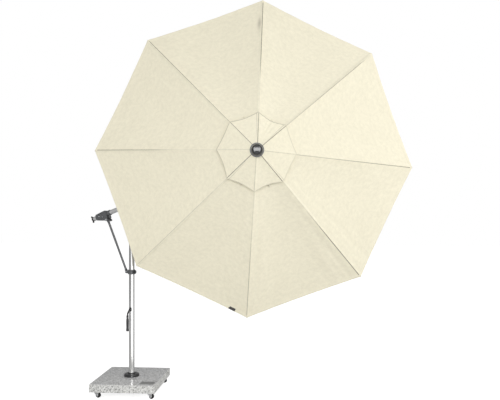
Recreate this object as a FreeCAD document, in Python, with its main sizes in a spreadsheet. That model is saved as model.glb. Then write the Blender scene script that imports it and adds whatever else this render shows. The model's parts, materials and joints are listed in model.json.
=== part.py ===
import FreeCAD, Part
import math
import os

import Sketcher
from FreeCAD import Placement, Rotation, Vector

os.makedirs("parts", exist_ok=True)
doc = FreeCAD.newDocument("parasol")

# ---- driving dimensions, all in millimetres and degrees -------------------
DIMENSIONS = [
    ("caster_height", 66.0, "floor to the slab's underside"),
    ("slab_side", 660.0, "square granite slab"),
    ("slab_thick", 79.0, "granite slab"),
    ("slab_edge", 4.0, "rounding of the slab's upright and top edges"),
    ("slab_turn", 14.6, "the slab's heading against the boom's plane"),
    ("caster_inset", 270.0, "caster stem from the slab's centre, each way"),
    ("caster_trail", 18.0, "wheel axle behind the stem"),
    ("wheel_dia", 50.0, "caster wheel"),
    ("wheel_width", 20.0, "caster wheel"),
    ("stem_dia", 12.0, "caster stem"),
    ("axle_dia", 6.0, "caster axle"),
    ("running_gap", 0.05, "radial clearance of pins and shafts that turn"),
    ("socket_dia", 66.0, "steel socket sunk into the slab"),
    ("flange_dia", 146.0, "socket flange on the slab"),
    ("flange_thick", 8.0, "socket flange"),
    ("foot_collar_dia", 156.0, "black ring round the mast's foot"),
    ("foot_collar_height", 30.0, "black ring"),
    ("mast_dia", 58.0, "mast tube"),
    ("mast_wall", 3.0, "mast tube"),
    ("mast_foot", 74.1, "lower end of the mast tube above the floor"),
    ("mast_top", 1890.0, "upper end of the mast tube above the floor"),
    ("head_height", 1950.0, "boom pivot above the floor"),
    ("cheek_gap", 63.0, "between the cheeks of the mast head"),
    ("cheek_thick", 8.0, "mast head cheek"),
    ("trunnion_dia", 16.0, "boom pivot pins"),
    ("boom_rise", 18.5, "boom above the horizontal"),
    ("carrier_dia", 48.0, "outer boom tube, carried by the mast head"),
    ("carrier_wall", 2.0, "outer boom tube"),
    ("carrier_back", 470.0, "outer boom tube behind the pivot"),
    ("carrier_front", 70.0, "outer boom tube in front of the pivot"),
    ("boom_dia", 42.0, "inner boom tube, turns for the side tilt"),
    ("boom_wall", 3.0, "inner boom tube"),
    ("boom_reach", 1450.0, "pivot to the canopy pole"),
    ("boom_back", 492.0, "inner boom tube behind the pivot"),
    ("side_tilt", 96.7, "canopy turned about the boom from level"),
    ("hub_lean", 19.0, "canopy pole leans this far from square to the boom"),
    ("strut_pivot_back", 330.0, "upper strut pivot behind the boom pivot"),
    ("strut_pivot_drop", 62.6, "upper strut pivot below the boom's axis"),
    ("strut_dia", 22.0, "strut tube"),
    ("strut_foot_out", 59.0, "lower strut pivot from the mast's axis"),
    ("slider_height", 1235.0, "lower strut pivot above the floor"),
    ("slider_dia", 76.0, "slider collar"),
    ("slider_tall", 47.0, "slider collar"),
    ("crank_height", 845.0, "crank shaft above the floor"),
    ("crank_heading", -80.0, "crank shaft's heading round the mast"),
    ("crank_shaft_dia", 14.0, "crank shaft"),
    ("crown_drop", 200.0, "canopy apex above the boom's axis, along the pole"),
    ("pole_dia", 38.0, "canopy pole"),
    ("pole_wall", 3.0, "canopy pole"),
    ("pole_end", 1080.0, "lower end of the pole below the apex"),
    ("rib_pivot_radius", 70.0, "rib hinges round the pole"),
    ("rib_pivot_drop", 38.0, "rib hinges below the apex"),
    ("rib_slope", 19.24, "ribs below level when open"),
    ("rib_wide", 10.0, "rib section"),
    ("rib_high", 16.0, "rib section"),
    ("rib_wall", 1.5, "rib section"),
    ("rib_long", 1662.0, "rib hinge to rib tip"),
    ("pin_dia", 6.0, "rib and stretcher pins"),
    ("stretcher_long", 500.0, "stretcher between pivots, and its place along the rib"),
    ("stretcher_dia", 12.0, "stretcher tube"),
    ("runner_tall", 24.0, "runner disc"),
    ("canopy_radius", 1650.0, "rib line, apex to hem corner, measured square to the pole"),
    ("gore_inner", 300.0, "inner edge of the main cloth"),
    ("cloth_thick", 1.0, "cloth as modelled"),
    ("cloth_gap", 0.3, "half the seam gap between neighbouring gores"),
    ("vent_radius", 384.0, "corner of the vent cap"),
    ("vent_dip", 335.0, "vent edge halfway between two corners"),
    ("vent_raise", 33.0, "vent corner above the main cloth"),
    ("finial_dia", 132.0, "dome on the apex"),
    ("finial_tall", 46.0, "dome on the apex"),
]
RIB_COUNT = 8
RIB_STEP = 360.0 / RIB_COUNT
HALF_STEP = RIB_STEP / 2

sheet = doc.addObject("Spreadsheet::Sheet", "dims")
for row, (alias, value, note) in enumerate(DIMENSIONS, start=1):
    sheet.set("A%d" % row, note)
    sheet.set("B%d" % row, str(value))
    sheet.setAlias("B%d" % row, alias)
doc.recompute()


def dim(name):
    return float(sheet.get(name))


X_AXIS = Vector(1, 0, 0)
Y_AXIS = Vector(0, 1, 0)
Z_AXIS = Vector(0, 0, 1)
ALONG_X = Rotation(Y_AXIS, 90)
ALONG_Y = Rotation(X_AXIS, -90)
UPRIGHT = Rotation()

nodes = []


# ---- helpers --------------------------------------------------------------
def bind(obj, **expressions):
    """Bind properties of an object to spreadsheet expressions."""
    for prop, text in expressions.items():
        obj.setExpression(prop, str(text))
    return obj


def cylinder(radius, height, at=(0, 0, 0), rotation=UPRIGHT):
    obj = doc.addObject("Part::Cylinder", "cylinder")
    obj.Placement = Placement(Vector(*at), rotation)
    return bind(obj, Radius=radius, Height=height)


def cone(radius_low, radius_high, height, at=(0, 0, 0), rotation=UPRIGHT):
    obj = doc.addObject("Part::Cone", "cone")
    obj.Placement = Placement(Vector(*at), rotation)
    return bind(obj, Radius1=radius_low, Radius2=radius_high, Height=height)


def sphere(radius, at=(0, 0, 0)):
    obj = doc.addObject("Part::Sphere", "sphere")
    obj.Placement = Placement(Vector(*at), UPRIGHT)
    return bind(obj, Radius=radius)


def box(length, width, height, at=(0, 0, 0), rotation=UPRIGHT):
    obj = doc.addObject("Part::Box", "box")
    obj.Placement = Placement(Vector(*at), rotation)
    return bind(obj, Length=length, Width=width, Height=height)


def fuse(*shapes):
    if len(shapes) == 1:
        return shapes[0]
    obj = doc.addObject("Part::MultiFuse", "joined")
    obj.Shapes = list(shapes)
    obj.Refine = True
    return obj


def cut(base, *tools):
    obj = doc.addObject("Part::Cut", "trimmed")
    obj.Base = base
    obj.Tool = fuse(*tools)
    obj.Refine = True
    return obj


def origin_plane(body, role):
    for item in body.Origin.OriginFeatures:
        if item.Role == role:
            return item
    raise RuntimeError("no plane " + role)


def outline(body, role, points):
    """A closed polygon on one of the body's own planes, every corner dimensioned from the origin."""
    sketch = body.newObject("Sketcher::SketchObject", "outline")
    sketch.AttachmentSupport = (origin_plane(body, role), [""])
    sketch.MapMode = "FlatFace"
    count = len(points)
    for i, (x, y) in enumerate(points):
        end_x, end_y = points[(i + 1) % count]
        sketch.addGeometry(Part.LineSegment(Vector(x, y, 0), Vector(end_x, end_y, 0)), False)
    for i in range(count):
        sketch.addConstraint(Sketcher.Constraint("Coincident", i, 2, (i + 1) % count, 1))
    for i, (x, y) in enumerate(points):
        sketch.addConstraint(Sketcher.Constraint("DistanceX", -1, 1, i, 1, x))
        sketch.addConstraint(Sketcher.Constraint("DistanceY", -1, 1, i, 1, y))
    return sketch


def padded(points, thickness, role="XZ_Plane"):
    """A plate of the given outline, padded evenly to both sides of its plane."""
    body = doc.addObject("PartDesign::Body", "plate")
    sketch = outline(body, role, points)
    pad = body.newObject("PartDesign::Pad", "pad")
    pad.Profile = sketch
    pad.Midplane = True
    bind(pad, Length=thickness)
    return body


def revolved(profile):
    """A solid turned about the Z axis from (radius, height) corners."""
    body = doc.addObject("PartDesign::Body", "turned")
    sketch = outline(body, "XZ_Plane", profile)
    turn = body.newObject("PartDesign::Revolution", "turn")
    turn.Profile = sketch
    turn.ReferenceAxis = (sketch, ["V_Axis"])
    turn.Angle = 360
    return body


def finish(label, obj, placement=None):
    """Name a finished sub-part, put it in place and list it for export."""
    obj.Label = label
    if placement is not None:
        obj.Placement = placement.multiply(obj.Placement)
    nodes.append(obj)
    return obj


# ---- places of the assemblies ---------------------------------------------
HEAD = Vector(0, 0, dim("head_height"))
BASE_AT = Placement(Vector(0, 0, 0), Rotation(Z_AXIS, dim("slab_turn")))
CARRIER_AT = Placement(HEAD, Rotation(Y_AXIS, -dim("boom_rise")))
BOOM_AT = CARRIER_AT.multiply(Placement(Vector(), Rotation(X_AXIS, dim("side_tilt"))))
POLE_JOINT = Placement(Vector(dim("boom_reach"), 0, 0), Rotation(Y_AXIS, dim("hub_lean")))
CANOPY_AT = BOOM_AT.multiply(POLE_JOINT).multiply(Placement(Vector(0, 0, dim("crown_drop")), UPRIGHT))
CRANK_AT = Placement(Vector(0, 0, dim("crank_height")), Rotation(Z_AXIS, dim("crank_heading")))


def rib_frame(index):
    """Frame of one rib: origin on its hinge, +X along the rib towards the hem."""
    turn = Placement(Vector(), Rotation(Z_AXIS, HALF_STEP + RIB_STEP * index))
    hinge = Placement(
        Vector(dim("rib_pivot_radius"), 0, -dim("rib_pivot_drop")), Rotation(Y_AXIS, dim("rib_slope"))
    )
    return CANOPY_AT.multiply(turn).multiply(hinge)


# ---- base: slab, socket, collar, plaque -----------------------------------
def build_slab():
    half = dim("slab_side") / 2
    body = doc.addObject("PartDesign::Body", "slab_body")
    sketch = outline(body, "XY_Plane", [(-half, -half), (half, -half), (half, half), (-half, half)])
    pad = body.newObject("PartDesign::Pad", "slab_pad")
    pad.Profile = sketch
    bind(pad, Length="dims.slab_thick")
    doc.recompute()
    rounded = []
    for number, edge in enumerate(pad.Shape.Edges, start=1):
        heights = [v.Z for v in edge.Vertexes]
        if max(heights) > dim("slab_thick") / 2:
            rounded.append("Edge%d" % number)
    fillet = body.newObject("PartDesign::Fillet", "slab_fillet")
    fillet.Base = (pad, rounded)
    bind(fillet, Radius="dims.slab_edge")
    stem_bores = []
    for sign_x in (-1, 1):
        for sign_y in (-1, 1):
            at = (sign_x * dim("caster_inset"), sign_y * dim("caster_inset"), -1)
            stem_bores.append(cylinder("dims.stem_dia / 2 + dims.running_gap", "46", at))
    socket_bore = cylinder("dims.socket_dia / 2", "dims.slab_thick + 2", (0, 0, -1))
    slab = cut(body, socket_bore, *stem_bores)
    at = Placement(Vector(0, 0, dim("caster_height")), UPRIGHT)
    finish("slab", slab, BASE_AT.multiply(at))


def build_foot():
    top = dim("caster_height") + dim("slab_thick")
    floor_low = dim("caster_height") + 2
    flange = cylinder("dims.flange_dia / 2", "dims.flange_thick", (0, 0, top))
    tube = cylinder("dims.socket_dia / 2", "dims.slab_thick + 4", (0, 0, floor_low))
    bore = cylinder("dims.mast_dia / 2 + dims.running_gap", "100", (0, 0, floor_low + 6))
    finish("foot_socket", cut(fuse(flange, tube), bore), BASE_AT)

    outer = dim("foot_collar_dia") / 2
    inner = dim("mast_dia") / 2 + 0.3
    shoulder = dim("foot_collar_height")
    recess = dim("flange_dia") / 2 + 0.2
    under = dim("flange_thick") + 0.2
    profile = [
        (recess, 0),
        (outer, 0),
        (outer, shoulder * 0.55),
        (outer - 3, shoulder * 0.72),
        (outer - 10, shoulder * 0.84),
        (inner + 12, shoulder * 0.92),
        (inner + 10, shoulder),
        (inner, shoulder),
        (inner, under),
        (recess, under),
    ]
    ring = revolved(profile)
    screw_heading = -72.5
    screw_at = Rotation(Z_AXIS, screw_heading).multVec(Vector(outer - 4, 0, shoulder * 0.3))
    screw_turn = Rotation(Z_AXIS, screw_heading).multiply(ALONG_X)
    screw = cylinder("4.5", "6.5", screw_at, screw_turn)
    at = Placement(Vector(0, 0, top), UPRIGHT)
    finish("foot_collar", fuse(ring, screw), BASE_AT.multiply(at))

    plaque_outline = [(-66, -42), (66, -42), (69, -39), (69, 39), (66, 42), (-66, 42), (-69, 39), (-69, -39)]
    plaque = padded(plaque_outline, "2", "XY_Plane")
    finish("plaque", plaque, BASE_AT.multiply(Placement(Vector(240, -243, top + 1), UPRIGHT)))


# ---- casters ---------------------------------------------------------------
CASTER_TRAILS = [(-1, -1, -15.0), (1, -1, -12.0), (1, 1, -20.0), (-1, 1, -8.0)]


def build_casters():
    plate_top = dim("caster_height") - 2
    axle = dim("wheel_dia") / 2
    trail = dim("caster_trail")
    half_gap = dim("wheel_width") / 2 + 2.5
    radius = dim("wheel_dia") / 2
    half = dim("wheel_width") / 2
    for number, (sign_x, sign_y, heading) in enumerate(CASTER_TRAILS, start=1):
        stand = Vector(sign_x * dim("caster_inset"), sign_y * dim("caster_inset"), 0)
        place = BASE_AT.multiply(Placement(stand, Rotation(Z_AXIS, heading)))
        plate = cylinder("29", "5", (0, 0, plate_top - 5))
        stem = cylinder("dims.stem_dia / 2", "46", (0, 0, plate_top - 3))
        leg_outline = [
            (-27, plate_top - 4),
            (28, plate_top - 4),
            (28, plate_top - 12),
            (trail + 9, axle + 3),
            (trail + 8, axle - 6),
            (trail + 4, axle - 11),
            (trail - 4, axle - 11),
            (trail - 9, axle - 6),
            (-26, plate_top - 13),
        ]
        legs = padded(leg_outline, half_gap * 2 + 6)
        between = box("80", half_gap * 2, "100", (-30, -half_gap, -35))
        pin = cylinder("dims.axle_dia / 2", half_gap * 2 + 9, (trail, -half_gap - 4.5, axle), ALONG_Y)
        legs_open = cut(legs, between)
        nut_a = cylinder("5", "2.5", (trail, half_gap + 2.9, axle), ALONG_Y)
        nut_b = cylinder("5", "2.5", (trail, -half_gap - 5.4, axle), ALONG_Y)
        finish("caster_fork_%d" % number, fuse(plate, stem, legs_open, pin, nut_a, nut_b), place)

        bore = dim("axle_dia") / 2 + dim("running_gap")
        profile = [
            (bore, -half - 1),
            (8, -half - 1),
            (9, -half + 3),
            (17, -half + 3),
            (18, -half),
            (radius - 2.5, -half),
            (radius - 0.7, -half + 1),
            (radius, -half + 3),
            (radius, half - 3),
            (radius - 0.7, half - 1),
            (radius - 2.5, half),
            (18, half),
            (17, half - 3),
            (9, half - 3),
            (8, half + 1),
            (bore, half + 1),
        ]
        wheel = revolved(profile)
        wheel.Placement = Placement(Vector(trail, 0, axle), ALONG_Y)
        finish("caster_wheel_%d" % number, wheel, place)


# ---- mast, its head and the crank ------------------------------------------
def build_mast():
    foot = dim("mast_foot")
    length = "dims.mast_top - dims.mast_foot"
    tube = cylinder("dims.mast_dia / 2", length, (0, 0, foot))
    hollow = cylinder("dims.mast_dia / 2 - dims.mast_wall", length, (0, 0, foot))
    out = CRANK_AT.Rotation.multiply(ALONG_X)
    window = cylinder("dims.crank_shaft_dia / 2 + 1", "60", (0, 0, dim("crank_height")), out)
    finish("mast_tube", cut(tube, hollow, window))

    top = dim("mast_top")
    pivot = dim("head_height")
    half_gap = dim("cheek_gap") / 2
    thick = dim("cheek_thick")
    plug = cylinder("dims.mast_dia / 2 - dims.mast_wall", "40", (0, 0, top - 40))
    skirt = cylinder("33", "8", (0, 0, top))
    bridge = box("56", (half_gap + thick) * 2, "8", (-28, -half_gap - thick, top))
    cheek_outline = [
        (-28, top),
        (28, top),
        (26, pivot),
        (22, pivot + 14),
        (13, pivot + 23),
        (0, pivot + 26),
        (-13, pivot + 23),
        (-22, pivot + 14),
        (-26, pivot),
    ]
    cheeks = padded(cheek_outline, (half_gap + thick) * 2)
    between = box("80", "dims.cheek_gap", "120", (-40, -half_gap, top + 8))
    bores = cylinder(
        "dims.trunnion_dia / 2 + dims.running_gap", "100", (0, -50, pivot), ALONG_Y
    )
    finish("mast_head", cut(fuse(plug, skirt, bridge, cheeks), between, bores))


def build_crank():
    # local frame: +X away from the mast, Z up, origin on the mast's axis at shaft height
    shaft = "dims.crank_shaft_dia / 2"
    house_outline = [(-11, -15), (-7, -20), (7, -20), (11, -15), (11, 15), (7, 20), (-7, 20), (-11, 15)]
    house = padded(house_outline, "48", "YZ_Plane")
    house.Placement = Placement(Vector(18, 0, 0), UPRIGHT)
    mast_room = cylinder("dims.mast_dia / 2", "120", (0, 0, -60))
    behind = box("60", "80", "120", (-60, -40, -60))
    shaft_bore = cylinder("dims.crank_shaft_dia / 2 + dims.running_gap", "60", (0, 0, 0), ALONG_X)
    finish("crank_housing", cut(house, mast_room, behind, shaft_bore), CRANK_AT)

    arm_end_x = 112
    arm_end_z = -58
    arm_outline = [
        (44, -9),
        (58, -11),
        (96, -32),
        (103, -42),
        (arm_end_x - 7.5, arm_end_z + 1),
        (arm_end_x - 5, arm_end_z - 7),
        (arm_end_x, arm_end_z - 10),
        (arm_end_x + 5, arm_end_z - 8),
        (arm_end_x + 7.5, arm_end_z - 1),
        (arm_end_x + 6, arm_end_z + 20),
        (110, -24),
        (98, -15),
        (60, 9),
        (44, 9),
    ]
    arm = padded(arm_outline, "10")
    axle = cylinder(shaft, "38", (16, 0, 0), ALONG_X)
    boss = cylinder("10.5", "15", (43, 0, 0), ALONG_X)
    cap = cone("10.5", "7.5", "4", (58, 0, 0), ALONG_X)
    eye = cylinder("2.5 + dims.running_gap", "20", (arm_end_x, -10, arm_end_z), ALONG_Y)
    finish("crank_arm", cut(fuse(arm, axle, boss, cap), eye), CRANK_AT)

    # grip stem hangs folded from the arm's end; its fork straddles the arm
    def cheek(y):
        return box("14", "3.5", "20", (arm_end_x - 7, y, arm_end_z - 13))

    pin = cylinder("2.5", "18", (arm_end_x, -9, arm_end_z), ALONG_Y)
    bridge = box("14", "17.4", "5", (arm_end_x - 7, -8.7, arm_end_z - 17))
    rod = cylinder("5", "137", (arm_end_x, 0, arm_end_z - 152))
    foot = cylinder("9", "3", (arm_end_x, 0, arm_end_z - 155))
    stem = fuse(cheek(5.2), cheek(-8.7), pin, bridge, rod, foot)
    finish("grip_stem", stem, CRANK_AT)

    bore = 5 + dim("running_gap")
    profile = [
        (bore, 0),
        (12.5, 0),
        (14, 2),
        (14.5, 6),
        (13, 18),
        (12, 38),
        (12.6, 70),
        (13.2, 100),
        (12.6, 118),
        (11, 127),
        (9, 132),
        (bore, 132),
    ]
    grip = revolved(profile)
    grip.Placement = Placement(Vector(arm_end_x, 0, arm_end_z - 151.8), UPRIGHT)
    finish("crank_grip", grip, CRANK_AT)


# ---- carrier: what tips on the mast head ------------------------------------
def build_carrier():
    # local frame: +X along the boom towards the canopy, Z square to it, origin on the pivot
    back = dim("carrier_back")
    length = "dims.carrier_back + dims.carrier_front"
    tube = cylinder("dims.carrier_dia / 2", length, (-back, 0, 0), ALONG_X)
    hollow = cylinder("dims.carrier_dia / 2 - dims.carrier_wall", length, (-back, 0, 0), ALONG_X)
    lock_x = -294
    lock_hole = cylinder("4 + dims.running_gap", "20", (lock_x, 0, -32))
    finish("carrier_tube", cut(tube, hollow, lock_hole), CARRIER_AT)

    ring = cylinder("30", "54", (-27, 0, 0), ALONG_X)
    half_gap = dim("cheek_gap") / 2
    reach = half_gap + dim("cheek_thick")
    trunnions = cylinder("dims.trunnion_dia / 2", reach * 2 + 2, (0, -reach - 1, 0), ALONG_Y)
    head_a = cylinder("12", "5", (0, reach + 0.5, 0), ALONG_Y)
    head_b = cylinder("12", "5", (0, -reach - 5.5, 0), ALONG_Y)
    tube_room = cylinder("dims.carrier_dia / 2", "80", (-40, 0, 0), ALONG_X)
    finish("pivot_saddle", cut(fuse(ring, trunnions, head_a, head_b), tube_room), CARRIER_AT)

    pivot_x = -dim("strut_pivot_back")
    pivot_z = -dim("strut_pivot_drop")
    bracket_outline = [
        (-452, -6),
        (-438, -36),
        (pivot_x - 18, pivot_z - 3),
        (pivot_x - 12, pivot_z - 11),
        (pivot_x - 4, pivot_z - 14),
        (pivot_x + 5, pivot_z - 13),
        (pivot_x + 13, pivot_z - 6),
        (-311, -30),
        (-309, 28),
        (-317, 35),
        (-337, 35),
        (-440, 27),
    ]
    block = padded(bracket_outline, "64")
    nose = cylinder("29", "44", (-316, 0, 0), ALONG_X)
    boss = cylinder("12", "32", (lock_x, 0, -56))
    tube_bore = cylinder("dims.carrier_dia / 2", "260", (-500, 0, 0), ALONG_X)
    strut_gap = box("66", "26", "70", (pivot_x - 50, -13, -100))
    pin_bore = cylinder("6", "100", (pivot_x, -50, pivot_z), ALONG_Y)
    lock_bore = cylinder("4 + dims.running_gap", "60", (lock_x, 0, -70))
    pocket_outline = [(-430, -22), (-362, -45), (-346, -30), (-346, 14), (-360, 22), (-430, 17)]
    pockets = cut(padded(pocket_outline, "80"), box("200", "58", "120", (-480, -29, -70)))
    bracket = cut(fuse(block, nose, boss), tube_bore, strut_gap, pin_bore, lock_bore, pockets)
    finish("rear_bracket", bracket, CARRIER_AT)

    pin = cylinder("6", "73", (pivot_x, -36.5, pivot_z), ALONG_Y)
    washer_a = cylinder("10", "4.5", (pivot_x, 32, pivot_z), ALONG_Y)
    washer_b = cylinder("10", "4.5", (pivot_x, -36.5, pivot_z), ALONG_Y)
    finish("strut_pin", fuse(pin, washer_a, washer_b), CARRIER_AT)

    outer = dim("carrier_dia") / 2 - dim("carrier_wall")
    inner = dim("boom_dia") / 2 + dim("running_gap")
    front = dim("carrier_front")
    front_bush = revolved(
        [(inner, front - 40), (outer, front - 40), (outer, front), (29, front), (29, front + 8),
         (27, front + 11), (inner, front + 11)]
    )
    rear_bush = revolved([(inner, -back), (outer, -back), (outer, 40 - back), (inner, 40 - back)])
    bushes = fuse(front_bush, rear_bush)
    bushes.Placement = Placement(Vector(), ALONG_X)
    finish("boom_bushes", bushes, CARRIER_AT)

    stem = cylinder("4", "45", (lock_x, 0, -66.5))
    knob = revolved([(0.5, -90), (9, -90), (12, -87), (12.5, -80), (11, -72), (7, -68), (5.5, -60), (0.5, -60)])
    knob.Placement = Placement(Vector(lock_x, 0, 0), UPRIGHT)
    core = cylinder("1", "29", (lock_x, 0, -89.5))
    finish("tilt_knob", fuse(stem, knob, core), CARRIER_AT)


# ---- strut and slider --------------------------------------------------------
def strut_ends():
    """Upper and lower strut pivots in the row's frame."""
    upper = CARRIER_AT.multVec(Vector(-dim("strut_pivot_back"), 0, -dim("strut_pivot_drop")))
    lower = Vector(-dim("strut_foot_out"), 0, dim("slider_height"))
    return upper, lower


def build_strut():
    upper, lower = strut_ends()
    length = (lower - upper).Length
    lean = math.degrees(math.atan2(lower.x - upper.x, upper.z - lower.z))
    # local frame: origin on the upper pivot, -Z along the strut
    place = Placement(upper, Rotation(Y_AXIS, -lean))
    tube = cylinder("dims.strut_dia / 2", length - 44, (0, 0, 24 - length))
    hollow = cylinder("dims.strut_dia / 2 - 2", length - 64, (0, 0, 34 - length))
    top_eye = cylinder("13", "25", (0, -12.5, 0), ALONG_Y)
    top_neck = box("18", "25", "30", (-9, -12.5, -30))
    top_hole = cylinder("6 + dims.running_gap", "40", (0, -20, 0), ALONG_Y)
    low_eye = cylinder("14", "25", (0, -12.5, -length), ALONG_Y)
    low_neck = box("18", "25", "32", (-9, -12.5, -length))
    low_hole = cylinder("9.5", "40", (0, -20, -length), ALONG_Y)
    strut = cut(fuse(tube, top_eye, top_neck, low_eye, low_neck), hollow, top_hole, low_hole)
    finish("strut", strut, place)


def build_slider():
    # local frame: origin on the mast's axis at the lower strut pivot
    place = Placement(Vector(0, 0, dim("slider_height")), UPRIGHT)
    tall = dim("slider_tall")
    radius = dim("slider_dia") / 2
    pivot_x = -dim("strut_foot_out")
    profile = [
        (20, -tall / 2),
        (radius - 2, -tall / 2),
        (radius, -tall / 2 + 2),
        (radius, tall / 2 - 2),
        (radius - 2, tall / 2),
        (20, tall / 2),
    ]
    ring = revolved(profile)
    ear_outline = [
        (-26, -16),
        (-26, 16),
        (pivot_x + 6, 14),
        (pivot_x - 6, 12),
        (pivot_x - 12, 4),
        (pivot_x - 12, -5),
        (pivot_x - 5, -13),
        (pivot_x + 4, -15),
    ]
    ears = padded(ear_outline, "41")
    ear_gap = box("60", "27", "60", (pivot_x - 22, -13.5, -30))
    clear_ring = cylinder(radius, "60", (0, 0, -30))
    ears_open = cut(ears, cut(ear_gap, clear_ring))
    clamp_outline = [(30, -17), (47, -17), (51, -13), (51, 13), (47, 17), (30, 17)]
    clamp = padded(clamp_outline, "20")
    bore = cylinder("dims.mast_dia / 2 + dims.running_gap", "80", (0, 0, -40))
    split = box("40", "2.4", "80", (25, -1.2, -40))
    screw_bore = cylinder("4 + dims.running_gap", "60", (43, -30, 0), ALONG_Y)
    pin_bore = cylinder("5", "60", (pivot_x, -30, 0), ALONG_Y)
    collar = cut(fuse(ring, ears_open, clamp), bore, split, screw_bore, pin_bore)
    finish("slider_collar", collar, place)

    pin = cylinder("5", "49", (pivot_x, -24.5, 0), ALONG_Y)
    head_a = cylinder("9", "4", (pivot_x, 20.5, 0), ALONG_Y)
    head_b = cylinder("9", "4", (pivot_x, -24.5, 0), ALONG_Y)
    finish("slider_pin", fuse(pin, head_a, head_b), place)

    screw = cylinder("4", "39", (43, -26, 0), ALONG_Y)
    lobes = []
    for lobe in range(6):
        angle = math.radians(60 * lobe)
        at = (43 + 7.8 * math.cos(angle), -37, 7.8 * math.sin(angle))
        lobes.append(cylinder("3.6", "12", at, ALONG_Y))
    body = cylinder("8.8", "14", (43, -38, 0), ALONG_Y)
    finish("slider_knob", fuse(screw, body, *lobes), place)


# ---- boom tube, hub, pole, crown ----------------------------------------------
def build_boom():
    # local frame: +X along the boom, +Z towards the apex side of the canopy
    back = dim("boom_back")
    reach = dim("boom_reach")
    length = "dims.boom_back + dims.boom_reach - 30"
    tube = cylinder("dims.boom_dia / 2", length, (-back, 0, 0), ALONG_X)
    hollow = cylinder("dims.boom_dia / 2 - dims.boom_wall", length, (-back, 0, 0), ALONG_X)
    finish("boom_tube", cut(tube, hollow), BOOM_AT)

    lean = Rotation(Y_AXIS, dim("hub_lean"))
    sleeve = cylinder("26", "80", (reach - 95, 0, 0), ALONG_X)
    collar_low = lean.multVec(Vector(0, 0, -45)) + Vector(reach, 0, 0)
    collar = cylinder("28", "90", collar_low, lean)
    tube_room = cylinder("dims.boom_dia / 2", "65", (reach - 95, 0, 0), ALONG_X)
    pole_room = cylinder("dims.pole_dia / 2", "90", collar_low, lean)
    finish("boom_hub", cut(fuse(sleeve, collar), tube_room, pole_room), BOOM_AT)

    cap = cylinder("24", "10", (-back - 10, 0, 0), ALONG_X)
    neck = cylinder("10", "16", (-back - 24, 0, 0), ALONG_X)
    plug = cylinder("dims.boom_dia / 2 - dims.boom_wall", "20", (-back, 0, 0), ALONG_X)
    bar = cylinder("6.5", "56", (-back - 19, -28, 0), ALONG_Y)
    end_a = sphere("9", (-back - 19, 28, 0))
    end_b = sphere("9", (-back - 19, -28, 0))
    finish("tilt_handle", fuse(cap, neck, plug, bar, end_a, end_b), BOOM_AT)


def build_crown():
    # local frame: origin on the apex, +Z out of the top of the canopy
    pole = cylinder("dims.pole_dia / 2", "dims.pole_end - 12", (0, 0, -dim("pole_end")))
    hollow = cylinder("dims.pole_dia / 2 - dims.pole_wall", "dims.pole_end - 12", (0, 0, -dim("pole_end")))
    finish("pole", cut(pole, hollow), CANOPY_AT)

    drop = dim("rib_pivot_drop")
    radius = dim("rib_pivot_radius")
    profile = [
        (dim("pole_dia") / 2, -drop - 32),
        (32, -drop - 32),
        (34, -drop - 13),
        (84, -drop - 13),
        (86, -drop - 11),
        (86, -drop + 9),
        (82, -drop + 12),
        (30, -drop + 16),
        (dim("pole_dia") / 2, -drop + 16),
    ]
    disc = revolved(profile)
    slots = []
    pins = []
    for index in range(RIB_COUNT):
        turn = Rotation(Z_AXIS, HALF_STEP + RIB_STEP * index)
        corner = turn.multVec(Vector(56, -5.4, -drop - 40))
        slots.append(box("60", "10.8", "80", corner, turn))
        pin_at = turn.multVec(Vector(radius, -12, -drop))
        pins.append(cylinder("dims.pin_dia / 2", "24", pin_at, turn.multiply(ALONG_Y)))
    finish("crown", fuse(cut(disc, *slots), *pins), CANOPY_AT)

    half = dim("finial_dia") / 2
    tall = dim("finial_tall")
    dome = revolved(
        [
            (0.4, -21),
            (9, -21),
            (9, 2),
            (20, 3),
            (half, -9),
            (half + 1, -6),
            (half, -1),
            (half - 3, 2),
            (half - 4, 10),
            (half - 9, 22),
            (half - 18, 33),
            (half - 29, 40),
            (half - 40, tall - 3),
            (half - 43, tall - 3),
            (half - 44, tall - 5),
            (0.4, tall - 5),
        ]
    )
    core = cylinder("1", "60", (0, 0, -20.5))
    finish("finial", fuse(dome, core), CANOPY_AT)


def build_runner():
    drop = dim("rib_pivot_drop") + 2 * dim("stretcher_long") * math.sin(math.radians(dim("rib_slope")))
    tall = dim("runner_tall")
    inner = dim("pole_dia") / 2 + dim("running_gap")
    profile = [
        (inner, -tall / 2 - 22),
        (30, -tall / 2 - 22),
        (32, -tall / 2),
        (80, -tall / 2),
        (83, -tall / 2 + 3),
        (83, tall / 2 - 3),
        (80, tall / 2),
        (32, tall / 2),
        (30, tall / 2 + 10),
        (inner, tall / 2 + 10),
    ]
    disc = revolved(profile)
    slots = []
    for index in range(RIB_COUNT):
        turn = Rotation(Z_AXIS, HALF_STEP + RIB_STEP * index)
        slots.append(box("60", "11", "80", turn.multVec(Vector(56, -5.5, -40)), turn))
        groove_at = turn.multVec(Vector(dim("rib_pivot_radius") - 3.6, -7.8, -40))
        slots.append(box("7.2", "15.6", "80", groove_at, turn))
    place = CANOPY_AT.multiply(Placement(Vector(0, 0, -drop), UPRIGHT))
    finish("runner", cut(disc, *slots), place)


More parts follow.
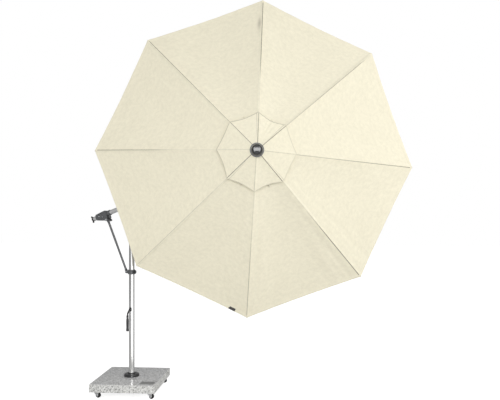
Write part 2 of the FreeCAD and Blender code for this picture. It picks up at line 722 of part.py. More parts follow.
# ---- ribs and stretchers ----------------------------------------------------
def build_rib(index):
    half_wide = dim("rib_wide") / 2
    half_high = dim("rib_high") / 2
    wall = dim("rib_wall")
    long = dim("rib_long")
    bar = box("dims.rib_long", "dims.rib_wide", "dims.rib_high", (0, -half_wide, -half_high))
    eye = cylinder("dims.rib_high / 2", "dims.rib_wide", (0, -half_wide, 0), ALONG_Y)
    tip = cylinder("dims.rib_wide / 2 + 1", "10", (long - 2, 0, 0), ALONG_X)
    bulb = sphere("8", (long + 8, 0, 0))
    inside = box(
        "dims.rib_long - 30",
        "dims.rib_wide - 2 * dims.rib_wall",
        "dims.rib_high - 2 * dims.rib_wall",
        (22, wall - half_wide, wall - half_high),
    )
    hinge = cylinder("dims.pin_dia / 2 + dims.running_gap", "30", (0, -15, 0), ALONG_Y)
    joint = cylinder("dims.pin_dia / 2 + dims.running_gap", "30", (dim("stretcher_long"), -15, 0), ALONG_Y)
    rib = cut(fuse(bar, eye, tip, bulb), inside, hinge, joint)
    finish("rib_%d" % (index + 1), rib, rib_frame(index))


def build_stretcher(index):
    # local frame: origin on the rib's pin, +X towards the runner
    long = dim("stretcher_long")
    fork_y = dim("rib_wide") / 2 + 0.3

    def cheek(y):
        return box("70", "3", "13", (-7, y, -6.5))

    bridge = box("14", fork_y * 2 + 6, "13", (51, -fork_y - 3, -6.5))
    pin = cylinder("dims.pin_dia / 2", fork_y * 2 + 8, (0, -fork_y - 4, 0), ALONG_Y)
    rod = cylinder("dims.stretcher_dia / 2", long - 60 - 22, (60, 0, 0), ALONG_X)
    tongue = box("28", "10", "12", (long - 28, -5, -6))
    eye = cylinder("6.5", "10", (long, -5, 0), ALONG_Y)
    stub = cylinder("dims.pin_dia / 2", "14", (long, -7, 0), ALONG_Y)
    shape = fuse(cheek(fork_y), cheek(-fork_y - 3), bridge, pin, rod, tongue, eye, stub)
    # the stretcher folds back towards the pole under its rib
    fold = Placement(Vector(long, 0, 0), Rotation(Y_AXIS, 180 - 2 * dim("rib_slope")))
    finish("stretcher_%d" % (index + 1), shape, rib_frame(index).multiply(fold))


# ---- canopy cloth --------------------------------------------------------------
def sheet_solid(corners, thickness):
    """A flat cloth panel: its outline, thickened straight down the pole."""
    wire = Part.makePolygon(corners + [corners[0]])
    return Part.Face(wire).extrude(Vector(0, 0, -thickness))


def around(radius, angle, height):
    turn = math.radians(angle)
    return Vector(radius * math.cos(turn), radius * math.sin(turn), height)


def cloth(label, solids):
    shape = solids[0].fuse(solids[1:]).removeSplitter()
    obj = doc.addObject("Part::Feature", label)
    obj.Shape = shape
    obj.Placement = CANOPY_AT
    obj.Label = label
    nodes.append(obj)


def build_gore(index):
    """Cloth carried by one rib, as far as the middle of the panel on each side."""
    slope = math.tan(math.radians(dim("rib_slope")))
    inner = dim("gore_inner")
    outer = dim("canopy_radius")
    centre = HALF_STEP + RIB_STEP * index
    shrink = math.cos(math.radians(HALF_STEP))
    solids = []
    for side in (-1, 1):
        middle = math.radians(centre + side * HALF_STEP)
        back_off = Vector(math.sin(middle), -math.cos(middle), 0) * side * dim("cloth_gap")
        corners = [
            around(inner, centre, -inner * slope),
            around(outer, centre, -outer * slope),
            around(outer * shrink, centre + side * HALF_STEP, -outer * slope) + back_off,
            around(inner * shrink, centre + side * HALF_STEP, -inner * slope) + back_off,
        ]
        solids.append(sheet_solid(corners, dim("cloth_thick")))
    cloth("gore_%d" % (index + 1), solids)


def build_vent():
    """Vent cap: eight flat panels with dipped outer edges, standing above the main cloth."""
    slope = math.tan(math.radians(dim("rib_slope")))
    outer = dim("vent_radius")
    inner = 20.0
    top = 1.0
    low = -outer * slope + dim("vent_raise")
    shrink = math.cos(math.radians(HALF_STEP))
    fall = (top - low) / (outer - inner)
    dip = dim("vent_dip")
    dip_height = top - (dip / shrink - inner) * fall
    solids = []
    for index in range(RIB_COUNT):
        left = RIB_STEP * index - HALF_STEP
        right = left + RIB_STEP
        corners = [
            around(inner, left, top),
            around(outer, left, low),
            around(dip, left + HALF_STEP, dip_height),
            around(outer, right, low),
            around(inner, right, top),
        ]
        solids.append(sheet_solid(corners, dim("cloth_thick")))
    cloth("vent_cap", solids)


# ---- build, check and export -----------------------------------------------------
build_slab()
build_foot()
build_casters()
build_mast()
build_crank()
build_carrier()
build_strut()
build_slider()
build_boom()
build_crown()
build_runner()
for rib_index in range(RIB_COUNT):
    build_rib(rib_index)
    build_stretcher(rib_index)
    build_gore(rib_index)
build_vent()
doc.recompute()

for obj in doc.Objects:
    bad = [word for word in obj.State if word in ("Invalid", "Error")]
    if bad:
        raise RuntimeError("%s (%s) did not compute: %s" % (obj.Name, obj.Label, bad))
for obj in nodes:
    if obj.Shape.isNull() or not obj.Shape.isValid() or not obj.Shape.Solids:
        raise RuntimeError("%s has no valid solid" % obj.Label)
    obj.Shape.exportStep("parts/%s.step" % obj.Label)
    box_now = obj.Shape.BoundBox
    print(
        "%-18s solids %d volume %.0f z %.1f to %.1f"
        % (obj.Label, len(obj.Shape.Solids), obj.Shape.Volume, box_now.ZMin, box_now.ZMax)
    )
print(len(nodes), "sub-parts")
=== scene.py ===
import json
import math

import bpy
import numpy as np
from mathutils import Matrix, Vector


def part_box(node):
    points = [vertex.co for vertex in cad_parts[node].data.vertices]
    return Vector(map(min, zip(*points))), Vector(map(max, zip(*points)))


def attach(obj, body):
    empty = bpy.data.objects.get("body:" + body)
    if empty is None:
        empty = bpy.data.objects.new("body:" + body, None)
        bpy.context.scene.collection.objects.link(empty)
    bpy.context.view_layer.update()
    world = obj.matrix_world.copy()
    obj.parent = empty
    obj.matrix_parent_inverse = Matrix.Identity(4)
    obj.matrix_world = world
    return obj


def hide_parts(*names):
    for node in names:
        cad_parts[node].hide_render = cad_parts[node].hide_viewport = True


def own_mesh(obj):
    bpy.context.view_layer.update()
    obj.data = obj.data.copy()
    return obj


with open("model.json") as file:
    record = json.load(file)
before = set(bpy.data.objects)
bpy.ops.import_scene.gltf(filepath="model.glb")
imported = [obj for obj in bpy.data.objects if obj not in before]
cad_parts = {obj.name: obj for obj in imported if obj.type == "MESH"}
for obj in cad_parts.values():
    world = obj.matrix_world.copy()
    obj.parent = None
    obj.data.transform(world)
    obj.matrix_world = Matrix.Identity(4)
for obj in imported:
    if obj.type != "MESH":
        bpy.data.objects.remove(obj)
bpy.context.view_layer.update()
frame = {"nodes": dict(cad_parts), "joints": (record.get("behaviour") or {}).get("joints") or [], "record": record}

# ---- Frames of the moving assemblies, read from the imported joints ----
JOINT = {j["name"]: j for j in frame["joints"]}


def joint_at(name):
    return Vector(JOINT[name]["pos_m"])


def joint_axis(name):
    return Vector(JOINT[name]["axis"]).normalized()


def axes_matrix(x_axis, z_axis, origin):
    """A right-handed frame from its X and Z directions and its origin."""
    x_axis = Vector(x_axis).normalized()
    z_axis = Vector(z_axis)
    z_axis = (z_axis - x_axis * z_axis.dot(x_axis)).normalized()
    y_axis = z_axis.cross(x_axis)
    turned = Matrix((x_axis, y_axis, z_axis)).transposed().to_4x4()
    return Matrix.Translation(Vector(origin)) @ turned


RIBS = 8
HALF = math.radians(180 / RIBS)  # from a rib to the middle of its panel
FULL_TURN = 6.283
POLE_UP = -joint_axis("runner_slide")
CROWN = sum((joint_at("rib_hinge_%d" % k) for k in range(1, RIBS + 1)), Vector()) / RIBS
APEX_OVER_HINGES = 0.038
APEX = CROWN + POLE_UP * APEX_OVER_HINGES
SLOPE = math.tan(math.radians(19.24))
HEM_RADIUS = 1.65
RIB_1_OUT = (joint_at("rib_hinge_1") - CROWN).normalized()
CANOPY = axes_matrix(
    RIB_1_OUT * math.cos(HALF) - POLE_UP.cross(RIB_1_OUT) * math.sin(HALF), POLE_UP, APEX
)
HEAD = joint_at("side_tilt")
CARRIER = axes_matrix(joint_axis("side_tilt"), (0, 0, 1), HEAD)
BOOM = axes_matrix(joint_axis("side_tilt"), POLE_UP, HEAD)
SLIDER = Matrix.Translation((0, 0, joint_at("slider_clamp").z))
SLAB_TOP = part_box("slab")[1].z


# ---- Node helpers for materials ----
class Shader:
    """A small wrapper that adds and links nodes of one material."""

    def __init__(self, name):
        self.material = bpy.data.materials.new(name)
        self.material.use_nodes = True
        self.tree = self.material.node_tree
        self.surface = self.tree.nodes["Principled BSDF"]
        self.object_coords = self.add("ShaderNodeTexCoord").outputs["Object"]

    def add(self, kind, **settings):
        node = self.tree.nodes.new(kind)
        for key, value in settings.items():
            setattr(node, key, value)
        return node

    def link(self, source, target):
        self.tree.links.new(source, target)

    def set(self, **values):
        for key, value in values.items():
            self.surface.inputs[key.replace("_", " ")].default_value = value

    def noise(self, scale, detail, roughness, vector=None, stretch=None):
        node = self.add("ShaderNodeTexNoise")
        node.inputs["Scale"].default_value = scale
        node.inputs["Detail"].default_value = detail
        node.inputs["Roughness"].default_value = roughness
        vector = vector or self.object_coords
        if stretch:
            vector = self.stretched(vector, stretch)
        self.link(vector, node.inputs["Vector"])
        return node.outputs["Fac"]

    def stretched(self, vector, scale):
        mapping = self.add("ShaderNodeMapping")
        mapping.inputs["Scale"].default_value = scale
        self.link(vector, mapping.inputs["Vector"])
        return mapping.outputs["Vector"]

    def ramp(self, value, stops):
        """Colour ramp; stops are (position, colour) with grey given as one number."""
        node = self.add("ShaderNodeValToRGB")
        ramp = node.color_ramp
        while len(ramp.elements) < len(stops):
            ramp.elements.new(0.5)
        for element, (place, colour) in zip(ramp.elements, stops):
            if not hasattr(colour, "__len__"):
                colour = (colour, colour, colour)
            element.position = place
            element.color = (*colour, 1)
        self.link(value, node.inputs["Fac"])
        return node.outputs["Color"]

    def math(self, operation, a, b=None):
        node = self.add("ShaderNodeMath", operation=operation)
        for socket, value in zip(node.inputs, (a, b)):
            if value is None:
                continue
            if isinstance(value, (int, float)):
                socket.default_value = value
            else:
                self.link(value, socket)
        return node.outputs[0]

    def mix(self, factor, first, second, blend="MIX"):
        node = self.add("ShaderNodeMix", data_type="RGBA", blend_type=blend)
        colour_sockets = (node.inputs[0], node.inputs[6], node.inputs[7])
        for socket, value in zip(colour_sockets, (factor, first, second)):
            if isinstance(value, (int, float)):
                socket.default_value = value
            elif isinstance(value, tuple):
                socket.default_value = (*value, 1)
            else:
                self.link(value, socket)
        return node.outputs[2]

    def bump(self, height, distance, strength):
        node = self.add("ShaderNodeBump")
        node.inputs["Distance"].default_value = distance
        node.inputs["Strength"].default_value = strength
        self.link(height, node.inputs["Height"])
        self.link(node.outputs["Normal"], self.surface.inputs["Normal"])

    def colour(self, socket):
        self.link(socket, self.surface.inputs["Base Color"])

    def roughness(self, socket):
        self.link(socket, self.surface.inputs["Roughness"])


THREAD_PITCH = 0.0016
# colour of the painted shade in the fold beside a seam
SEAM_SHADE_COLOUR = (0.24, 0.215, 0.16)
STITCH_COLOUR = (0.9, 0.88, 0.8)
# colour of painted shade: the shadow under the vent's edge, a second fold beside vent seams, and beside one rib
# tip
PAINTED_SHADE_COLOUR = (0.27, 0.24, 0.18)


def weave_of(s):
    """The UV map in metres, its two distances, and a plain weave made from them."""
    uv = s.add("ShaderNodeUVMap", uv_map="cloth_m").outputs["UV"]
    split = s.add("ShaderNodeSeparateXYZ")
    s.link(uv, split.inputs["Vector"])
    across, along = split.outputs["X"], split.outputs["Y"]
    threads = 2 * math.pi / THREAD_PITCH
    warp = s.math("SINE", s.math("MULTIPLY", across, threads))
    weft = s.math("SINE", s.math("MULTIPLY", along, threads))
    return uv, across, along, s.math("MULTIPLY", warp, weft)


def with_painted_shade(s, base):
    """Darken the cloth with painted shade where its attribute gives it."""
    # painted shade: a per-point attribute mixes a dark colour into the cloth
    painted_shade = s.add("ShaderNodeAttribute", attribute_name="painted_shade").outputs["Fac"]
    return s.mix(painted_shade, base, PAINTED_SHADE_COLOUR)


def with_seam(s, base, across, along):
    """Painted shade in the fold beside a seam, and one row of stitches next to it."""
    beside = s.math("ABSOLUTE", s.math("SUBTRACT", across, -0.0035))
    seam = s.math("LESS_THAN", beside, 0.0034)
    fold_shade = s.add("ShaderNodeAttribute", attribute_name="painted_seam_shade").outputs["Fac"]
    # painted shade: the fold beside the seam is darkened in the colour, by an amount given per point
    base = s.mix(s.math("MULTIPLY", seam, fold_shade), base, SEAM_SHADE_COLOUR)
    from_row = s.math("ABSOLUTE", s.math("SUBTRACT", across, 0.0095))
    row = s.math("LESS_THAN", from_row, 0.0006)
    dash = s.math("GREATER_THAN", s.math("FRACT", s.math("MULTIPLY", along, 250.0)), 0.35)
    stitch = s.math("MULTIPLY", s.math("MULTIPLY", row, dash), 0.8)
    return s.mix(stitch, base, STITCH_COLOUR)


def woven_cloth(name, light, dark, seam_line):
    """Canvas: plain weave, slub, soft mottling and, where asked, the seam over a rib with painted shade in its
    folds.
    """
    s = Shader(name)
    s.set(Roughness=0.86, Sheen_Weight=0.25, Sheen_Roughness=0.5, Specular_IOR_Level=0.25)
    uv, across, along, weave = weave_of(s)
    slub = s.noise(1.0, 3, 0.6, uv, (900, 60, 1))
    slub_weft = s.noise(1.0, 3, 0.6, uv, (60, 900, 1))
    fleck = s.noise(170, 2, 0.7, uv)
    mottle = s.noise(27, 3, 0.7, uv)
    cloud = s.noise(5.0, 5, 0.6, uv)
    tone = s.math("ADD", s.math("MULTIPLY", slub, 0.10), s.math("MULTIPLY", slub_weft, 0.10))
    for part, weight in ((fleck, 0.18), (mottle, 0.48), (cloud, 0.14)):
        tone = s.math("ADD", tone, s.math("MULTIPLY", part, weight))
    base = s.ramp(tone, [(0.36, dark), (0.64, light)])
    if seam_line:
        # the seam's fold and the other shaded places get painted shade here
        base = with_painted_shade(s, with_seam(s, base, across, along))
    s.colour(base)
    height = s.math("ADD", s.math("MULTIPLY", weave, 0.5), s.math("MULTIPLY", fleck, 1.2))
    height = s.math("ADD", height, s.math("MULTIPLY", mottle, 2.6))
    s.bump(height, 0.00025, 0.55)
    return s.material


def cloth_hem(name, light, dark):
    """The doubled cloth of hems and pockets, with painted shade where its attribute gives it."""
    s = Shader(name)
    s.set(Roughness=0.84, Sheen_Weight=0.25, Sheen_Roughness=0.5, Specular_IOR_Level=0.25)
    uv, _, _, weave = weave_of(s)
    fleck = s.noise(170, 2, 0.7, uv)
    s.colour(with_painted_shade(s, s.ramp(fleck, [(0.3, dark), (0.65, light)])))
    s.bump(s.math("ADD", s.math("MULTIPLY", weave, 0.5), fleck), 0.00025, 0.5)
    return s.material


def granite(name):
    """Grey granite: mica and feldspar grains, polished on top, broken and chalky on the sides."""
    s = Shader(name)
    s.set(IOR=1.52)
    coords = s.object_coords
    grain = s.add("ShaderNodeTexVoronoi", feature="F1")
    grain.inputs["Scale"].default_value = 190
    grain.inputs["Randomness"].default_value = 1.0
    s.link(coords, grain.inputs["Vector"])
    crystal = s.ramp(grain.outputs["Color"], [(0.0, 0.34), (0.3, 0.56), (0.55, 0.70), (1.0, 0.92)])
    dark = s.ramp(s.noise(120, 3, 0.6), [(0.36, 0.35), (0.46, 1.0)])
    pale = s.ramp(s.noise(60, 4, 0.6), [(0.42, 0.86), (0.62, 1.08)])
    stone = s.mix(1.0, crystal, dark, "MULTIPLY")
    stone = s.mix(1.0, stone, pale, "MULTIPLY")
    chips = s.add("ShaderNodeTexVoronoi", feature="F1")
    chips.inputs["Scale"].default_value = 120
    s.link(coords, chips.inputs["Vector"])
    chip_tones = [
        (0.16, (0.18, 0.18, 0.175)),
        (0.32, (0.52, 0.52, 0.50)),
        (0.8, (0.84, 0.84, 0.82)),
    ]
    broken = s.ramp(chips.outputs["Color"], chip_tones)
    chalky = s.mix(0.10, broken, (0.70, 0.70, 0.68))
    normal = s.add("ShaderNodeSeparateXYZ")
    s.link(s.add("ShaderNodeNewGeometry").outputs["Normal"], normal.inputs["Vector"])
    top = s.math("GREATER_THAN", normal.outputs["Z"], 0.75)
    s.colour(s.mix(top, chalky, stone))
    polish = s.ramp(s.noise(260, 2, 0.6), [(0.35, 0.09), (0.75, 0.17)])
    s.roughness(s.mix(top, (0.62, 0.62, 0.62), polish))
    rough = s.math("MULTIPLY", s.noise(300, 5, 0.7), s.math("SUBTRACT", 1.0, top))
    s.bump(rough, 0.0016, 0.8)
    return s.material


def anodised(name, tone, stretch, roughness, spread):
    """Drawn and anodised aluminium tube, with die lines along its length."""
    s = Shader(name)
    s.set(Metallic=1.0)
    lines = s.noise(1.0, 3, 0.6, None, stretch)
    cloud = s.noise(9, 3, 0.5)
    low = tuple(0.93 * c for c in tone)
    s.colour(s.ramp(cloud, [(0.3, low), (0.7, tone)]))
    s.roughness(s.ramp(lines, [(0.25, roughness - spread / 2), (0.75, roughness + spread / 2)]))
    s.bump(lines, 0.00012, 0.35)
    return s.material


def powder_coat(name, tone, lift=1.5, roughness=0.42):
    """Powder-coated casting: fine orange peel and slight tone changes."""
    s = Shader(name)
    s.set(Coat_Weight=0.35, Coat_Roughness=0.16)
    high = tuple(min(1.0, lift * c) for c in tone)
    s.colour(s.ramp(s.noise(60, 5, 0.6), [(0.35, tone), (0.8, high)]))
    peel = s.noise(650, 3, 0.6)
    s.roughness(s.ramp(peel, [(0.3, roughness - 0.06), (0.7, roughness + 0.08)]))
    s.bump(peel, 0.0002, 0.5)
    return s.material


def moulded(name, tone, roughness=0.5, grain=420):
    """Moulded plastic with a fine leather grain, scuffed a little."""
    s = Shader(name)
    cells = s.add("ShaderNodeTexVoronoi", feature="DISTANCE_TO_EDGE")
    cells.inputs["Scale"].default_value = grain
    s.link(s.object_coords, cells.inputs["Vector"])
    scuff = s.noise(35, 6, 0.65)
    high = tuple(c * 1.7 + 0.012 for c in tone)
    s.colour(s.ramp(scuff, [(0.4, tone), (0.8, high)]))
    s.roughness(s.ramp(scuff, [(0.35, roughness - 0.08), (0.75, roughness + 0.12)]))
    s.bump(s.math("MINIMUM", cells.outputs["Distance"], 0.08), 0.0006, 0.35)
    return s.material


def lacquer(name, tone):
    """High-gloss moulding with faint polishing haze."""
    s = Shader(name)
    s.set(Coat_Weight=0.9, Coat_Roughness=0.04, IOR=1.5)
    haze = s.noise(24, 5, 0.6)
    s.colour(s.ramp(haze, [(0.3, tone), (0.8, tuple(c * 1.8 for c in tone))]))
    s.roughness(s.ramp(haze, [(0.3, 0.10), (0.75, 0.20)]))
    s.bump(s.noise(180, 2, 0.5), 0.00006, 0.3)
    return s.material


def zinc_plate(name):
    """Zinc-plated steel with crystal spangle."""
    s = Shader(name)
    s.set(Metallic=1.0)
    spangle = s.add("ShaderNodeTexVoronoi", feature="F1")
    spangle.inputs["Scale"].default_value = 150
    s.link(s.object_coords, spangle.inputs["Vector"])
    tones = [(0.1, (0.55, 0.56, 0.57)), (0.9, (0.78, 0.79, 0.8))]
    s.colour(s.ramp(spangle.outputs["Color"], tones))
    s.roughness(s.ramp(s.noise(90, 4, 0.6), [(0.3, 0.25), (0.7, 0.42)]))
    s.bump(s.noise(400, 3, 0.5), 0.0001, 0.4)
    return s.material


def tread_rubber(name):
    """Caster rubber: matt, with dust rubbed into it."""
    s = Shader(name)
    dust = s.noise(70, 6, 0.65)
    s.colour(s.ramp(dust, [(0.45, (0.018, 0.018, 0.019)), (0.8, (0.06, 0.058, 0.055))]))
    s.roughness(s.ramp(dust, [(0.3, 0.55), (0.8, 0.8)]))
    s.bump(s.noise(520, 4, 0.6), 0.0003, 0.5)
    return s.material


CREAM_TONES = ((0.930, 0.877, 0.697), (0.800, 0.753, 0.588))
CLOTH = woven_cloth("cloth", *CREAM_TONES, True)
CLOTH_PLAIN = woven_cloth("cloth_plain", *CREAM_TONES, False)
CLOTH_HEM = cloth_hem("cloth_hem", (0.900, 0.849, 0.672), (0.830, 0.781, 0.612))
TAG_CLOTH = woven_cloth("tag_cloth", (0.10, 0.095, 0.09), (0.05, 0.048, 0.045), False)
GRANITE = granite("granite")
MAST_ALU = anodised("mast_alu", (0.78, 0.78, 0.775), (420, 420, 2.2), 0.16, 0.08)
BOOM_ALU = anodised("boom_alu", (0.80, 0.80, 0.80), (3, 300, 300), 0.36, 0.12)
RIB_ALU = anodised("rib_alu", (0.66, 0.67, 0.68), (40, 260, 260), 0.38, 0.14)
GREY_CAST = powder_coat("grey_cast", (0.070, 0.073, 0.076))
BLACK_CAST = powder_coat("black_cast", (0.012, 0.012, 0.013), 1.8, 0.36)
STRUT_GREY = powder_coat("strut_grey", (0.085, 0.088, 0.092), 1.3, 0.36)
PLAQUE_DARK = powder_coat("plaque_dark", (0.19, 0.19, 0.186), 1.3, 0.34)
NYLON_BLACK = moulded("nylon_black", (0.014, 0.014, 0.015))
NYLON_WHITE = moulded("nylon_white", (0.45, 0.45, 0.43), 0.45, 300)
GLOSS_BLACK = lacquer("gloss_black", (0.012, 0.012, 0.013))
RIM_GREY = powder_coat("rim_grey", (0.12, 0.122, 0.125), 1.3, 0.3)
ZINC = zinc_plate("zinc")
RUBBER = tread_rubber("wheel_black")
SLOT_LOOK = {
    "granite": GRANITE,
    "zinc": ZINC,
    "black_cast": BLACK_CAST,
    "plaque_dark": PLAQUE_DARK,
    "wheel_black": RUBBER,
    "mast_alu": MAST_ALU,
    "grey_cast": GREY_CAST,
    "boom_alu": BOOM_ALU,
    "strut_grey": STRUT_GREY,
    "nylon_black": NYLON_BLACK,
    "nylon_white": NYLON_WHITE,
    "gloss_black": GLOSS_BLACK,
    "rib_alu": RIB_ALU,
    "cloth": CLOTH_PLAIN,
}
for part in frame["record"]["subparts"]:
    node = frame["nodes"][part["node"]]
    node.data.materials.clear()
    node.data.materials.append(SLOT_LOOK[part["material_slot"]])


# ---- Mesh helpers ----
def mesh_object(name, verts, faces, materials, face_slots=None, uvs=None):
    """A smooth mesh in the scene; uvs are in metres, one for each vertex."""
    mesh = bpy.data.meshes.new(name)
    mesh.from_pydata([tuple(v) for v in verts], [], faces)
    for material in materials:
        mesh.materials.append(material)
    if face_slots is not None:
        mesh.polygons.foreach_set("material_index", face_slots)
    if uvs is not None:
        layer = mesh.uv_layers.new(name="cloth_m")
        flat = []
        for polygon in mesh.polygons:
            for index in polygon.vertices:
                flat.extend(uvs[index])
        layer.data.foreach_set("uv", flat)
    mesh.polygons.foreach_set("use_smooth", [True] * len(mesh.polygons))
    mesh.update()
    obj = bpy.data.objects.new(name, mesh)
    bpy.context.scene.collection.objects.link(obj)
    return obj


def settle(obj, body, slot, *replaced):
    """Ride on a body and stand for CAD nodes; the slot argument is not used."""
    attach(obj, body)
    if replaced:
        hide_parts(*replaced)


def thicken(obj, thickness, offset):
    """Turn a surface into a closed sheet; an offset of -1 grows it to one side, 0 to both."""
    modifier = obj.modifiers.new("solidify", "SOLIDIFY")
    modifier.thickness = thickness
    modifier.offset = offset
    modifier.use_rim = True
    depsgraph = bpy.context.evaluated_depsgraph_get()
    done = bpy.data.meshes.new_from_object(obj.evaluated_get(depsgraph))
    obj.modifiers.clear()
    old = obj.data
    obj.data = done
    done.name = obj.name
    bpy.data.meshes.remove(old)


def sheet_object(name, grid, slot_of, uv_of, paint_of, body):
    """A closed sheet from a grid of points: a lower layer straight down the pole, and a crisp
    rim. paint_of gives the painted shade in the fold beside the seam and the other painted shade at each point."""
    rows, columns = len(grid), len(grid[0])
    down = -POLE_UP * CLOTH_THICK
    verts = [point for row in grid for point in row]
    verts += [point + down for point in verts]
    uvs = [uv_of(r, c) for r in range(rows) for c in range(columns)] * 2
    under = rows * columns

    def index(r, c):
        return r * columns + c

    faces, slots = [], []
    for r in range(rows - 1):
        for c in range(columns - 1):
            loop = (index(r, c), index(r + 1, c), index(r + 1, c + 1), index(r, c + 1))
            faces.append(loop)
            faces.append(tuple(under + i for i in reversed(loop)))
            slots += [slot_of(r)] * 2
    ring = [index(r, 0) for r in range(rows)]
    ring += [index(rows - 1, c) for c in range(1, columns)]
    ring += [index(r, columns - 1) for r in range(rows - 2, -1, -1)]
    ring += [index(0, c) for c in range(columns - 2, 0, -1)]
    for a, b in zip(ring, ring[1:] + ring[:1]):
        faces.append((b, a, under + a, under + b))
        slots.append(slot_of(rows - 2 if min(a, b) >= (rows - 2) * columns else 0))
    obj = mesh_object(name, verts, faces, [CLOTH, CLOTH_HEM], slots, uvs)
    paint = [paint_of(r, c) for r in range(rows) for c in range(columns)] * 2
    for which, word in enumerate(("painted_seam_shade", "painted_shade")):
        layer = obj.data.attributes.new(word, "FLOAT", "POINT")
        layer.data.foreach_set("value", [values[which] for values in paint])
    border = {frozenset(pair) for pair in zip(ring, ring[1:] + ring[:1])}
    sharp = []
    for edge in obj.data.edges:
        a, b = edge.vertices
        sharp.append(frozenset((a % under, b % under)) in border or a % under == b % under)
    layer = obj.data.attributes.new("sharp_edge", "BOOLEAN", "EDGE")
    layer.data.foreach_set("value", sharp)
    settle(obj, body, "cloth")
    return obj


def rounded_profile(corners, steps=4):
    """Round each corner of a (radius, height, rounding) profile with a short arc of points."""
    points = []
    count = len(corners)
    for i, (x, y, bevel) in enumerate(corners):
        here = Vector((x, y))
        if bevel <= 0 or i in (0, count - 1):
            points.append(here)
            continue
        before = Vector(corners[i - 1][:2])
        after = Vector(corners[i + 1][:2])
        reach_in = min(bevel, (before - here).length * 0.49)
        reach_out = min(bevel, (after - here).length * 0.49)
        start = here + (before - here).normalized() * reach_in
        end = here + (after - here).normalized() * reach_out
        for step in range(steps + 1):
            t = step / steps
            points.append(start * (1 - t) ** 2 + here * 2 * t * (1 - t) + end * t * t)
    return points


def round_point(radius, angle, height):
    """A point given in cylinder coordinates."""
    return Vector((radius * math.cos(angle), radius * math.sin(angle), height))


def lathe(name, corners, place, material, segments, flutes=0, flute_depth=0.0, flute_from=0.0):
    """A turned piece about the local Z axis; flutes cut scallops into the rim beyond a radius."""
    profile = rounded_profile(corners)
    verts, faces = [], []
    rings = []
    for point in profile:
        if point.x < 1e-6:
            rings.append([len(verts)])
            verts.append(place @ Vector((0, 0, point.y)))
            continue
        ring = []
        for step in range(segments):
            angle = 2 * math.pi * step / segments
            radius = point.x
            if flutes and radius > flute_from:
                radius -= flute_depth * (0.5 - 0.5 * math.cos(flutes * angle))
            ring.append(len(verts))
            verts.append(place @ round_point(radius, angle, point.y))
        rings.append(ring)
    for low, high in zip(rings, rings[1:]):
        for step in range(segments):
            after = (step + 1) % segments
            if len(low) == 1:
                faces.append((low[0], high[after], high[step]))
            elif len(high) == 1:
                faces.append((low[step], low[after], high[0]))
            else:
                faces.append((low[step], low[after], high[after], high[step]))
    obj = mesh_object(name, verts, faces, [material])
    return shade_by_angle(obj, 40)


def shade_by_angle(obj, degrees):
    """Smooth shading except across edges sharper than the angle."""
    mesh = obj.data
    mesh.polygons.foreach_set("use_smooth", [True] * len(mesh.polygons))
    normals = [p.normal.copy() for p in mesh.polygons]
    by_edge = {}
    for polygon in mesh.polygons:
        for key in polygon.edge_keys:
            by_edge.setdefault(key, []).append(polygon.index)
    limit = math.radians(degrees)
    sharp = []
    for edge in mesh.edges:
        owners = by_edge.get(edge.key, [])
        hard = len(owners) == 2 and normals[owners[0]].angle(normals[owners[1]], 0) > limit
        sharp.append(hard)
    layer = mesh.attributes.new("sharp_edge", "BOOLEAN", "EDGE")
    layer.data.foreach_set("value", sharp)
    mesh.update()
    return obj


def hex_head(name, place, across, high, material):
    """A hexagon bolt head with a chamfered top, base on the local XY plane."""
    verts, faces = [], []
    steps = 24
    rows = [(1.0, 0.0), (1.0, high * 0.75), (0.84, high)]
    for share, height in rows:
        for step in range(steps):
            angle = 2 * math.pi * step / steps
            flat = math.cos(math.pi / 6) / math.cos((angle % (math.pi / 3)) - math.pi / 6)
            radius = across / math.sqrt(3) * (flat if share == 1.0 else 1.0) * share
            verts.append(place @ round_point(radius, angle, height))
    for low in (0, steps):
        high_row = low + steps
        for step in range(steps):
            after = (step + 1) % steps
            faces.append((low + step, low + after, high_row + after, high_row + step))
    faces.append(tuple(range(2 * steps, 3 * steps)))
    faces.append(tuple(reversed(range(steps))))
    return shade_by_angle(mesh_object(name, verts, faces, [material]), 30)


def socket_head(name, place, radius, high, material):
    """A cap screw with a hexagon socket, base on the local XY plane."""
    rim = radius * 0.62
    corners = [
        (0.0, 0.0, 0),
        (radius, 0.0, 0),
        (radius, high, radius * 0.15),
        (rim, high, radius * 0.05),
        (rim * 0.98, high * 0.35, 0),
        (0.0, high * 0.3, 0),
    ]
    return lathe(name, corners, place, material, 24)


# ---- Canopy cloth: one surface, cut into a wedge for each rib ----
TAN = math.tan(HALF)
RING_INNER = 0.300
HEM_BAND = 0.026
HEM_FROM = HEM_RADIUS - HEM_BAND
SEAM_HALF = 0.0115
SEAM_LAP = (-0.0022, SEAM_HALF)
SEAM_LAP_RISE = 0.0014
SEAM_GROOVE_TO = -0.0060
SEAM_GROOVE_DEEP = 0.0012
CLOTH_LIFT = 0.0006
CLOTH_THICK = 0.0010
TAPE_THICK = 0.0012


def rib_way(rib):
    """Directions along a rib and sideways from it, in the canopy's own frame."""
    angle = HALF + rib * 2 * HALF
    out = Vector((math.cos(angle), math.sin(angle), 0))
    return out, Vector((-math.sin(angle), math.cos(angle), 0))


def panel_beside(rib, side):
    """The panel after the rib (side above 0) or before it."""
    return rib if side > 0 else (rib - 1) % RIBS


FOLD_STRENGTH = {5: 3.3, 6: 2.3, 1: 1.5}


